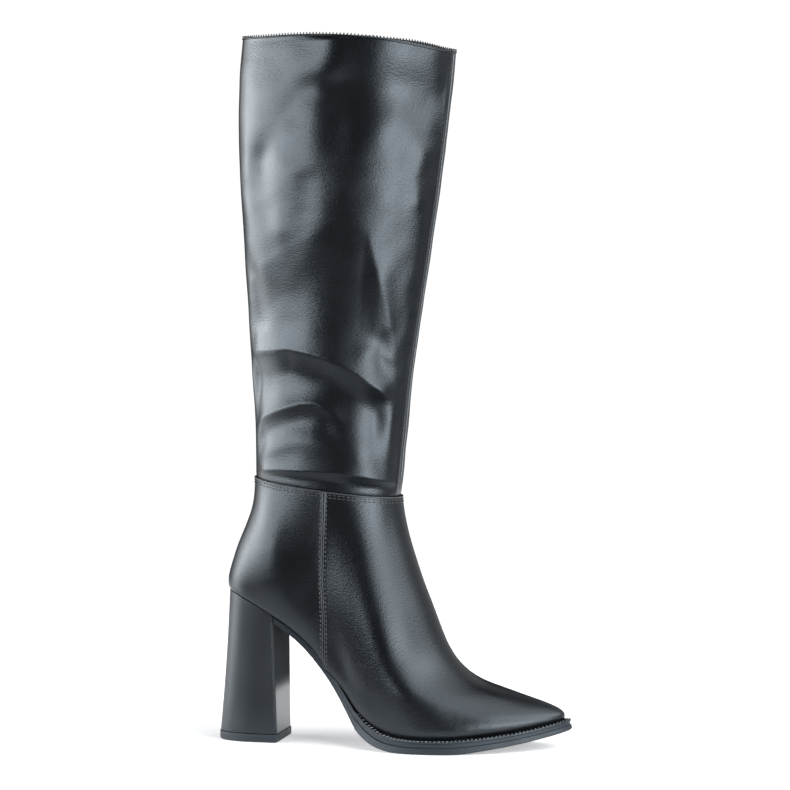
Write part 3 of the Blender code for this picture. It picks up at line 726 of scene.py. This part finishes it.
def crease_leg(piece):
    """Press the leg's ledges and folds into a piece that follows its wall."""
    points = points_of(piece)
    angle, side, away = leg_place(points)
    height = points[:, 2] / MM
    on = {"outer": side < 0, "inner": side > 0}
    move = sum(wave.height * hill(angle, wave.angle, wave.half_width) for wave in WAVES)
    move *= rise(height, *WAVES_BEGIN)
    for ledge in LEDGES:
        angles, levels, shoulders = np.array(ledge.line, float).T
        level = np.interp(angle, angles, levels)
        shoulder = np.interp(angle, angles, shoulders)
        rear = rise(angle, angles[0], angles[0] + LEDGE_REAR)
        front = rise(angle, angles[-1], angles[-1] - LEDGE_FRONT)
        move += on[ledge.side] * rear * front * ledge_section(ledge, level - height, shoulder - level)
    for fold in FOLDS:
        line = [(at * MM_PER_DEGREE, level) for at, level in fold.line]
        distance = distance_to_line(angle * MM_PER_DEGREE, height, line)
        move += on[fold.side] * fold.height * hill(distance, 0, fold.half_width)
    move += MOTTLE * np.array([noise.noise(Vector(point)) for point in points * (1 / MOTTLE_SIZE)])
    move *= rise(height - seam_height(points[:, 0]), *SMOOTH_ABOVE_ANKLE) * rise(height, *SMOOTH_UNDER_COLLAR)
    move *= rise(angle, *SMOOTH_AT_BACK) * rise(angle, *SMOOTH_AT_FRONT)
    put_points(piece, points + away * (move * MM)[:, None])


def on_lining(face):
    """Whether a face lies halfway up the leg, inside its outer side."""
    low, high = LINING_HEIGHTS
    return low < face.center.z < high and face.center.y < -LINING_SIDE and face.normal.y > LINING_FACING


def select_flat_from(piece, test):
    """Select the smooth region of faces around the first face that passes a test."""
    work_on(piece, "EDIT")
    bpy.ops.mesh.select_mode(type="FACE")
    bpy.ops.object.mode_set(mode="OBJECT")
    seed = next(f for f in piece.data.polygons if test(f))
    seed.select = True
    bpy.ops.object.mode_set(mode="EDIT")
    bpy.ops.mesh.faces_select_linked_flat(sharpness=math.radians(FACE_END))


def cut_upright_edges(piece):
    """Cut a piece's long upright edges, so that its creases get as fine a mesh up it as round it."""
    work_on(piece, "EDIT")
    bpy.ops.mesh.select_mode(type="EDGE")
    bpy.ops.object.mode_set(mode="OBJECT")
    points = points_of(piece)
    for edge in piece.data.edges:
        along, across, up = np.abs(points[edge.vertices[0]] - points[edge.vertices[1]])
        edge.select = bool(up > LONG_EDGE and up > STEEP_EDGE * np.hypot(along, across))
    bpy.ops.object.mode_set(mode="EDIT")
    bpy.ops.mesh.subdivide(number_cuts=UPRIGHT_CUTS)
    bpy.ops.object.mode_set(mode="OBJECT")


def make_leg():
    """The leg's leather and its lining, from the shaft's own wall, with its creases."""
    leg = copy_of("shaft", "leg")
    select_flat_from(leg, on_lining)
    bpy.ops.mesh.separate(type="SELECTED")
    bpy.ops.object.mode_set(mode="OBJECT")
    lining = next(o for o in bpy.context.selected_objects if o != leg)
    lining.name = "leg_lining"
    crease_edges(leg)
    refine(leg, 1)
    cut_upright_edges(leg)
    refine(leg, 1)
    refine(lining, 2)
    for piece in (leg, lining):
        crease_leg(piece)
        shade(piece, SOFT_SHADE)
    give(leg, LEATHER, "leg_leather", "shaft")
    give(lining, LINING, "sock")
    return leg


# The foot part, the welt and the hard pieces

def side_seam_x(height):
    """Where the side seam runs at a height."""
    heights, places = zip(*reversed(SIDE_SEAM))
    return np.interp(np.asarray(height) / MM, heights, places) * MM


def foot_fullness(x, z):
    """How much fuller the foot part is than its model at a place and height, all in mm."""
    above_feather = z - np.interp(x, *zip(*FEATHER_EDGE))
    ball = BALL_FULLNESS * hill(z, *BALL_HEIGHT) * rise(x, *BALL_REAR_RISE) * rise(x, *BALL_FRONT_RISE)
    toe = TOE_FULLNESS * hill(above_feather, *TOE_HEIGHT) * rise(x, *TOE_REAR_RISE) * rise(x, *TOE_FRONT_RISE)
    counter = COUNTER_FULLNESS * hill(x, *COUNTER_PLACE) * rise(z, *COUNTER_LOW_RISE)
    counter *= 1 - COUNTER_LESS_HIGH * rise(z, *COUNTER_HIGH_RISE)
    waist = WAIST_FULLNESS * hill(x, *WAIST_PLACE) * hill(z, *WAIST_HEIGHT)
    return ball + toe + counter + waist


def shape_foot(points):
    """Give the foot part its fullness, its worn height at the ankle and its narrow side seams."""
    x, y, z = (points / MM).T
    side = np.sign(y) * rise(np.abs(y), *SIDE_RISE)
    points[:, 1] += side * foot_fullness(x, z) * MM
    points[:, 2] += ankle_rise(points[:, 0]) * rise(z, *ANKLE_STRETCH) * MM
    seam = side_seam_x(points[:, 2]) / MM
    x += (seam - SIDE_SEAM_IN_MODEL) * hill(x, SIDE_SEAM_IN_MODEL, SIDE_SEAM_PULL)
    off = x - seam
    points[:, 0] = (x - off * SIDE_SEAM_PINCH * hill(off, 0, SIDE_SEAM_PINCH_WIDTH)) * MM
    return points


def make_foot():
    """The foot part's leather."""
    foot = copy_of("upper", "foot")
    crease_edges(foot)
    refine(foot, 2)
    put_points(foot, shape_foot(points_of(foot)))
    shade(foot, SOFT_SHADE)
    give(foot, LEATHER, "foot_leather", "upper")
    return foot


def make_welt():
    """The welt, with the groove along its top in which its stitches lie, the groove's faces painted near
    black as shade.
    """
    welt = copy_of("welt", "stitched_welt")
    work_on(welt, "EDIT")
    bpy.ops.mesh.select_mode(type="FACE")
    bpy.ops.object.mode_set(mode="OBJECT")
    for face in welt.data.polygons:
        face.select = face.normal.z > WELT_FACING
    bpy.ops.object.mode_set(mode="EDIT")
    bpy.ops.mesh.inset(thickness=WELT_RIM)
    bpy.ops.transform.translate(value=(0, 0, -WELT_GROOVE))
    bpy.ops.object.mode_set(mode="OBJECT")
    # The groove's faces get a near-black colour: painted shade.
    groove_painted_shade = [face.index for face in welt.data.polygons if face.select]
    give(welt, WELT_RUBBER, "welt", "welt")
    welt.data.materials.append(GROOVE_PAINTED_SHADE)
    for index in groove_painted_shade:
        welt.data.polygons[index].material_index = 1
    ease(welt, WELT_BEVEL, EASED_WELT_EDGE)
    shade(welt, HARD_SHADE)
    return welt


def make_block(node, name, material, slot, bevel):
    """A hard piece of the sole or heel, its edges eased."""
    piece = copy_of(node, name)
    ease(piece, bevel, EASED_EDGE)
    refine(piece, 1)
    shade(piece, HARD_SHADE)
    give(piece, material, slot, node)
    return piece


def make_heel():
    """The covered heel, its breast glossier than its round back."""
    heel = make_block("heel", "heel_block", HEEL_LEATHER, "heel_cover", bevel=0.9 * MM)
    heel.data.materials.append(BREAST_LEATHER)
    for face in heel.data.polygons:
        if face.normal.x > BREAST_FACING:
            face.material_index = 1
    return heel


# Seams and stitches

def all_round(count):
    """Level directions all round, evenly turned."""
    turns = (math.tau * k / count for k in range(count))
    return [Vector((math.cos(turn), math.sin(turn), 0)) for turn in turns]


def on_section(section, out):
    """How far along the boot a direction from a section's middle meets its edge."""
    return section.middle + out.x / math.hypot(out.x / section.half_length, out.y / section.half_width)


def hit_from_outside(surface, section, level, out):
    """Where a surface is met first on the way in to a section's middle, at a level in mm."""
    hit, *_ = surface.ray_cast(Vector((section.middle, 0, level * MM)) + out * OUTSIDE, -out)
    return hit


def round_ankle(surface, below):
    """A line round the top of the foot part, a distance in mm below its edge."""
    line = []
    for out in all_round(ANKLE_POINTS):
        x = on_section(LEG_LOW, out)
        for _ in range(ANKLE_TRIES):
            hit = hit_from_outside(surface, LEG_LOW, seam_height(x) - below, out)
            x = hit.x
        line.append(hit)
    return line


def round_collar(surface, below):
    """A line round the leg, a distance in mm below the collar's edge."""
    line = []
    for out in all_round(COLLAR_POINTS):
        level = collar_height(on_section(LEG_HIGH, out)) - below
        line.append(hit_from_outside(surface, LEG_HIGH, level, out))
    return line


def down_side(surface, side, offset, start):
    """A line down beside the side seam, at an offset, from a start below the ankle's edge, in mm."""
    line = []
    top = seam_height(side_seam_x(SIDE_TOP)) - start
    for level in np.arange(top, SIDE_SEAM[-1][0], -SIDE_STEP):
        x = side_seam_x(level * MM) + offset * MM
        hit, out, *_ = surface.ray_cast(Vector((x, side * OUTSIDE, level * MM)), Vector((0, -side, 0)))
        if hit is None or out.z < SIDE_END_FACING or abs(hit.y) < SIDE_END_NEAR:
            break
        line.append(hit)
    return line


def down_front(surface):
    """A line down the front of the leg, on the outer side."""
    line = []
    turn = math.radians(FRONT_SEAM_ANGLE)
    for level in np.arange(*FRONT_SEAM_LEVELS) * MM:
        middle, half_length, half_width = leg_section(level)
        out = Vector((-half_length * math.cos(turn), -half_width * math.sin(turn), 0))
        start = Vector((middle, 0, level)) + out * FRONT_SEAM_SEARCH
        hit, *_ = surface.ray_cast(start, -out.normalized())
        line.append(hit)
    return line


def round_welt(welt):
    """The line of the welt's stitches along its top, from waist to waist round the toe."""
    surface = surface_of(welt)
    down = Vector((0, 0, -1))
    edge = []
    for turn in np.radians(np.linspace(-WELT_TURN, WELT_TURN, WELT_POINTS)):
        out = Vector((math.cos(turn), math.sin(turn), 0))
        hits = (surface.ray_cast(WELT_MIDDLE + out * reach * MM, down)[0] for reach in np.arange(*WELT_REACH))
        outermost = next((hit for hit in hits if hit), None)
        if outermost:
            edge.append(outermost)
    line = []
    for place, along in evenly(edge, WELT_STEP):
        inward = Vector((-along.y, along.x, 0)).normalized()
        line.append(place + inward * WELT_ROW)
    return line


def along_waist(surface, side):
    """The upper outer edge of the sole along the waist, from the heel to the welt."""
    line = []
    for x in np.arange(*WAIST_BEAD_PLACES) * MM:
        for level in np.arange(*WAIST_BEAD_LEVELS) * MM:
            hit, *_ = surface.ray_cast(Vector((x, side * OUTSIDE, level)), Vector((0, -side, 0)))
            if hit and hit.y * side > WAIST_BEAD_NEAR * MM:
                line.append(hit - Vector((0, side * WAIST_BEAD_IN, WAIST_BEAD_DOWN)))
                break
    return line


def down_breast(surface, side):
    """The upright corner between the heel's side and its breast."""
    line = []
    for level in np.arange(*BREAST_LEVELS) * MM:
        for y in np.arange(*BREAST_CORNERS) * MM:
            hit, *_ = surface.ray_cast(Vector((0, side * y, level)), Vector((-1, 0, 0)))
            if hit and hit.x < BREAST_PLACE * MM:
                line.append(hit)
                break
    return line


def make_trim(sole, welt, heel):
    """The welt's stitches, the bead along the waist and the folded edges of the heel's cover."""
    up = Vector((0, 0, 1))
    spots = [(place, along, up) for place, along in evenly(round_welt(welt), WELT_STITCH_PITCH)]
    # The welt's stitches are light grey: a painted highlight on the welt's teeth.
    sew("welt_stitches", spots, WELT_STITCH, WELT_THREAD_PAINTED_HIGHLIGHT, "welt", slant=WELT_STITCH_SLANT)
    on_sole = surface_of(sole)
    on_heel = surface_of(heel)
    for side, where in ((-1, "outer"), (1, "inner")):
        bead(where + "_heel_edge", down_breast(on_heel, side), HEEL_BEAD, HEEL_LEATHER, "heel_cover")
        bead(where + "_waist_bead", along_waist(on_sole, side), WAIST_BEAD, WAIST_LEATHER, "sole_rubber")


def make_seams(leg, foot):
    """Ridges, rolled edges and rows of stitches of the leather; the ridges, the ankle's rolled edge and the
    front seam's bead are coloured lighter as painted highlights.
    """
    on_foot = surface_of(foot)
    on_leg = surface_of(leg)
    line = round_ankle(on_foot, ANKLE_EDGE_BELOW)
    # The ankle's rolled edge is coloured lighter than the leather: a painted highlight.
    bead("ankle_edge", line, ANKLE_BEAD, EDGE_PAINTED_HIGHLIGHT, "foot_leather", closed=True)
    spots = []
    for below in ANKLE_ROWS:
        line = round_ankle(on_foot, below)
        spots += laid(on_foot, line, ANKLE_STITCH_PITCH, closed=True, proud=STITCH_PROUD)
    sew("ankle_stitches", spots, LEATHER_STITCH, THREAD, "foot_leather")
    for side, where in ((-1, "outer"), (1, "inner")):
        spots = []
        for offset in (-SIDE_STITCH_OFFSET, SIDE_STITCH_OFFSET):
            line = down_side(on_foot, side, offset, ANKLE_ROWS[0])
            spots += laid(on_foot, line, SIDE_STITCH_PITCH, proud=STITCH_PROUD)
        sew(where + "_side_stitches", spots, LEATHER_STITCH, THREAD, "foot_leather", slant=SIDE_STITCH_SLANT)
        for edge, offset in (("rear", -SIDE_RIDGE_OFFSET), ("front", SIDE_RIDGE_OFFSET)):
            line = down_side(on_foot, side, offset, SIDE_RIDGE_START)
            # The side ridges are coloured lighter than the leather: a painted highlight.
            bead(where + "_side_ridge_" + edge, line, RIDGE_BEAD, EDGE_PAINTED_HIGHLIGHT, "foot_leather")
    # The front seam's bead gets a much lighter colour: a painted highlight.
    bead("front_seam", down_front(on_leg), FRONT_BEAD, SEAM_PAINTED_HIGHLIGHT, "leg_leather")
    line = round_collar(on_leg, COLLAR_EDGE_BELOW)
    bead("collar_edge", line, COLLAR_BEAD, LEATHER, "leg_leather", closed=True)
    spots = laid(on_leg, round_collar(on_leg, COLLAR_ROW), COLLAR_STITCH_PITCH, closed=True)
    spots = [(place + COLLAR_STITCH_RISE, along, out) for place, along, out in spots]
    sew("collar_stitches", spots, COLLAR_STITCH, THREAD, "leg_leather", slant=COLLAR_STITCH_SLANT)


# Stage

def make_camera():
    azimuth = math.radians(VIEW_AZIMUTH)
    spot = Vector((LOOK_AT.x + math.sin(azimuth) * VIEW_DISTANCE, -math.cos(azimuth) * VIEW_DISTANCE,
                   VIEW_HEIGHT))
    data = bpy.data.cameras.new("camera")
    data.lens = LENS
    data.sensor_width = SENSOR_WIDTH
    camera = bpy.data.objects.new("camera", data)
    camera.location = spot
    camera.rotation_euler = (LOOK_AT - spot).to_track_quat("-Z", "Y").to_euler()
    bpy.context.collection.objects.link(camera)
    bpy.context.scene.camera = camera


def hang_softbox(box):
    """Hang a softbox in its place, facing the boot."""
    turn = math.radians(box.turn + VIEW_AZIMUTH)
    lift = math.radians(box.lift)
    ray = Vector((math.sin(turn) * math.cos(lift), -math.cos(turn) * math.cos(lift), math.sin(lift)))
    data = bpy.data.lights.new(box.name, "AREA")
    data.shape = "RECTANGLE"
    data.size = 2 * LIGHT_DISTANCE * math.tan(math.radians(box.half_turn))
    data.size_y = 2 * LIGHT_DISTANCE * math.tan(math.radians(box.half_lift))
    data.energy = box.brightness * math.pi * data.size * data.size_y
    data.color = LAMP_COLOUR
    if box.fades:
        fade_out(data, box.fades)
    lamp = bpy.data.objects.new(box.name, data)
    lamp.location = LIGHT_TARGET + ray * LIGHT_DISTANCE
    lamp.rotation_euler = (-ray).to_track_quat("-Z", "Y").to_euler()
    lamp.visible_camera = False
    bpy.context.collection.objects.link(lamp)


def fade(share):
    """1 halfway across and 0 at both edges."""
    return share * (1 - share) * 4.0


def fade_out(data, fades):
    """Let a light fade from its middle to its edges."""
    data.use_nodes = True
    nodes = Nodes(data.node_tree)
    place = nodes.value("ShaderNodeNewGeometry", {}, {}, "Parametric")
    split = nodes.node("ShaderNodeSeparateXYZ", {}, {"Vector": place})
    strength = fade(Wire(nodes.tree, split.outputs["Y"]))
    if fades == "all round":
        strength = strength * fade(Wire(nodes.tree, split.outputs["X"]))
    nodes.link(strength, nodes.tree.nodes["Emission"].inputs["Strength"])


def make_floor():
    """A pale floor under the boot and behind it."""
    deselect()
    bpy.ops.mesh.primitive_circle_add(vertices=96, radius=FLOOR_RADIUS, fill_type="NGON",
                                      location=FLOOR_MIDDLE)
    floor = bpy.context.object
    floor.name = "floor"
    pale = Finish("pale_floor", FLOOR_COLOUR, 0.9, Specular_IOR_Level=0.1)
    pale.glow(FLOOR_GLOW)
    floor.data.materials.append(pale.material)
    return floor


def make_backdrop():
    """A white backdrop all round, which lights nothing."""
    deselect()
    bpy.ops.mesh.primitive_uv_sphere_add(radius=BACKDROP_RADIUS, segments=48, ring_count=24)
    backdrop = bpy.context.object
    backdrop.name = "backdrop"
    white = Finish("white_backdrop", (0.0, 0.0, 0.0), 1.0, Specular_IOR_Level=0.0)
    white.glow(BACKDROP_GLOW)
    backdrop.data.materials.append(white.material)
    backdrop.visible_diffuse = False
    backdrop.visible_glossy = False
    backdrop.visible_transmission = False
    backdrop.visible_shadow = False
    return backdrop


def make_stage():
    """The floor, the backdrop and soft studio light."""
    floor = make_floor()
    backdrop = make_backdrop()
    for box in SOFTBOXES:
        hang_softbox(box)
    world = bpy.data.worlds.new("studio")
    world.use_nodes = True
    world.node_tree.nodes["Background"].inputs["Color"].default_value = WORLD_COLOUR
    world.node_tree.nodes["Background"].inputs["Strength"].default_value = WORLD_STRENGTH
    bpy.context.scene.world = world
    bpy.context.scene.view_settings.view_transform = "Standard"


# The materials: their darker and lighter colour or their colour, their roughness, and the height of their
# grain.
LEATHER = leather("black_leather", (0.0022, 0.0025, 0.0032), (0.0036, 0.004, 0.0048), 0.29, 0.11 * MM)
HEEL_LEATHER = leather("heel_leather", (0.006, 0.0065, 0.0075), (0.009, 0.0095, 0.0105), 0.36, 0.03 * MM)
LINING = leather("lining", (0.02, 0.02, 0.021), (0.03, 0.03, 0.031), 0.6, 0.05 * MM)
SOLE_RUBBER = rubber("sole_rubber", (0.010, 0.013, 0.017), 0.5)
WELT_RUBBER = rubber("welt_rubber", (0.013, 0.017, 0.021), 0.42)
THREAD = thread("black_thread", (0.03, 0.0315, 0.0345), 0.38)
# Light grey: a painted highlight on the welt's teeth.
WELT_THREAD_PAINTED_HIGHLIGHT = thread("welt_thread_painted_highlight", (0.16, 0.17, 0.18), 0.5)
# Much lighter than the leather: a painted highlight along the front seam's bead.
SEAM_PAINTED_HIGHLIGHT = leather("seam_painted_highlight", (0.09, 0.093, 0.1), (0.13, 0.135, 0.145), 0.34, 0.02 * MM)
# Lighter than the leather: a painted highlight along the ankle's rolled edge and the side seam's ridges.
EDGE_PAINTED_HIGHLIGHT = leather("edge_painted_highlight", (0.03, 0.032, 0.036), (0.05, 0.053, 0.058), 0.36, 0.02 * MM)
BREAST_LEATHER = breast_leather("breast_leather", (0.004, 0.0044, 0.005))
WAIST_LEATHER = leather("waist_leather", (0.006, 0.0065, 0.0075), (0.009, 0.0095, 0.0105), 0.22, 0.01 * MM)
# Near black: painted shade in the welt's groove.
GROOVE_PAINTED_SHADE = rubber("groove_painted_shade", (0.002, 0.002, 0.002), 0.8)

make_camera()
make_stage()
leg = make_leg()
foot = make_foot()
make_seams(leg, foot)
sole = make_block("outsole", "sole", SOLE_RUBBER, "sole_rubber", bevel=0.35 * MM)
welt = make_welt()
make_trim(sole, welt, make_heel())
make_block("top_lift", "heel_lift", SOLE_RUBBER, "lift_rubber", bevel=0.25 * MM)
make_block("insole", "sock", LINING, "sock", bevel=0.2 * MM)
